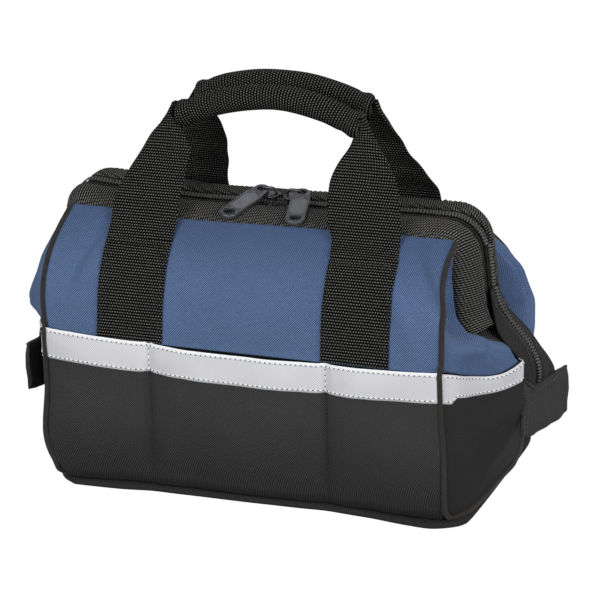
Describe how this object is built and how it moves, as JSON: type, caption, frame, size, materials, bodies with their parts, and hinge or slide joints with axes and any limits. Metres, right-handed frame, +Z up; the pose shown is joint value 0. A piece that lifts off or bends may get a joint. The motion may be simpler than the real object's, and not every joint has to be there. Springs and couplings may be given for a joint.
{
  "type": "tool bag",
  "caption": "Small boxy cloth tool bag with a zipped gate mouth on steel frames, open outer pockets, reflective trim, end tabs and webbing handles.",
  "frame": {"origin": "on the floor under the middle of the bag", "axes": "+X along the bag to the right end, -Y out of the front, +Z up"},
  "size_m": [0.399, 0.1882, 0.2933],
  "materials": {
    "blue_polyester": "fine plain woven polyester, slight sheen",
    "black_polyester": "fine twill polyester, matte",
    "reflective_tape": "silver grey glass-bead tape with stitched edges",
    "black_webbing": "ribbed polypropylene webbing",
    "piping": "cloth covered cord",
    "zip_tape": "woven zip tape",
    "zip_coil": "nylon coil",
    "frame_steel": "zinc plated spring steel",
    "gunmetal": "gunmetal lacquered zinc casting",
    "stiffener_board": "stiff plastic sheet"
  },
  "bodies": {
    "base": {"base_panel": "black_polyester", "base_board": "stiffener_board", "front_lower_panel": "black_polyester", "front_pocket_panel": "black_polyester", "front_reflective_strip": "reflective_tape", "left_front_gusset": "blue_polyester", "right_front_gusset": "blue_polyester", "rear_lower_panel": "black_polyester", "rear_pocket_panel": "black_polyester", "rear_reflective_strip": "reflective_tape", "left_rear_gusset": "blue_polyester", "right_rear_gusset": "blue_polyester", "left_end_panel": "black_polyester", "left_end_strip": "reflective_tape", "left_piping": "piping", "left_end_tab": "black_polyester", "left_zip_tail": "zip_tape", "right_end_panel": "black_polyester", "right_end_strip": "reflective_tape", "right_piping": "piping", "right_end_tab": "black_polyester", "right_zip_tail": "zip_tape"},
    "front_wall": {"front_upper_panel": "blue_polyester", "front_upper_piping_left": "piping", "front_upper_piping_right": "piping", "front_strap_anchor_left": "black_webbing", "front_strap_anchor_right": "black_webbing"},
    "rear_wall": {"rear_upper_panel": "blue_polyester", "rear_upper_piping_left": "piping", "rear_upper_piping_right": "piping", "rear_strap_anchor_left": "black_webbing", "rear_strap_anchor_right": "black_webbing"},
    "front_frame": {"front_frame_rod": "frame_steel", "front_mouth_binding": "black_webbing", "front_zip_tape": "zip_tape", "front_zip_coil": "zip_coil", "left_frame_rivet": "frame_steel", "right_frame_rivet": "frame_steel"},
    "rear_frame": {"rear_frame_rod": "frame_steel", "rear_mouth_binding": "black_webbing", "rear_zip_tape": "zip_tape", "rear_zip_coil": "zip_coil"},
    "front_handle": {"front_handle_strap_left": "black_webbing", "front_handle_strap_right": "black_webbing", "front_handle_grip": "black_webbing"},
    "rear_handle": {"rear_handle_strap_left": "black_webbing", "rear_handle_strap_right": "black_webbing", "rear_handle_grip": "black_webbing"},
    "left_slider_unit": {"left_slider": "gunmetal", "left_slider_bridge": "gunmetal"},
    "right_slider_unit": {"right_slider": "gunmetal", "right_slider_bridge": "gunmetal"},
    "left_pull_tab": {"left_pull": "gunmetal"},
    "right_pull_tab": {"right_pull": "gunmetal"}
  },
  "joints": [
    {"name": "front_wall_hinge", "type": "hinge", "parent": "base", "child": "front_wall", "pos_m": [0, -0.084, 0.1115], "axis": [1, 0, 0], "range_deg": [0, 25], "deforming": ["left_front_gusset", "right_front_gusset", "left_zip_tail", "right_zip_tail"]},
    {"name": "rear_wall_hinge", "type": "hinge", "parent": "base", "child": "rear_wall", "pos_m": [0, 0.084, 0.1115], "axis": [1, 0, 0], "range_deg": [-25, 0], "deforming": ["left_rear_gusset", "right_rear_gusset"]},
    {"name": "front_frame_hinge", "type": "hinge", "parent": "front_wall", "child": "front_frame", "pos_m": [0, -0.041, 0.195], "axis": [1, 0, 0], "range_deg": [0, 7.5]},
    {"name": "rear_frame_hinge", "type": "hinge", "parent": "rear_wall", "child": "rear_frame", "pos_m": [0, 0.041, 0.195], "axis": [1, 0, 0], "range_deg": [-7.5, 0]},
    {"name": "front_handle_swing", "type": "hinge", "parent": "front_wall", "child": "front_handle", "pos_m": [0, -0.06033, 0.18052], "axis": [1, 0, 0], "range_deg": [0, 150]},
    {"name": "rear_handle_swing", "type": "hinge", "parent": "rear_wall", "child": "rear_handle", "pos_m": [0, 0.06033, 0.18052], "axis": [1, 0, 0], "range_deg": [-150, 0]},
    {"name": "left_slider_slide", "type": "slide", "parent": "front_frame", "child": "left_slider_unit", "axis": [-1, 0, 0], "range_m": [0, 0.102], "deforming": ["front_zip_coil"]},
    {"name": "right_slider_slide", "type": "slide", "parent": "front_frame", "child": "right_slider_unit", "axis": [1, 0, 0], "range_m": [0, 0.102], "deforming": ["rear_zip_coil"]},
    {"name": "left_pull_swing", "type": "hinge", "parent": "left_slider_unit", "child": "left_pull_tab", "pos_m": [-0.01595, 0, 0.20366], "axis": [0, 0.1736, -0.9848], "range_deg": [-32, 128]},
    {"name": "right_pull_swing", "type": "hinge", "parent": "right_slider_unit", "child": "right_pull_tab", "pos_m": [0.01595, 0, 0.20366], "axis": [0, -0.1736, 0.9848], "range_deg": [-8, 152]}
  ],
  "couplings": [
    {"joint": "front_frame_hinge", "follows": "front_wall_hinge", "ratio": 0.3},
    {"joint": "rear_wall_hinge", "follows": "front_wall_hinge", "ratio": -1},
    {"joint": "rear_frame_hinge", "follows": "front_wall_hinge", "ratio": -0.3}
  ]
}
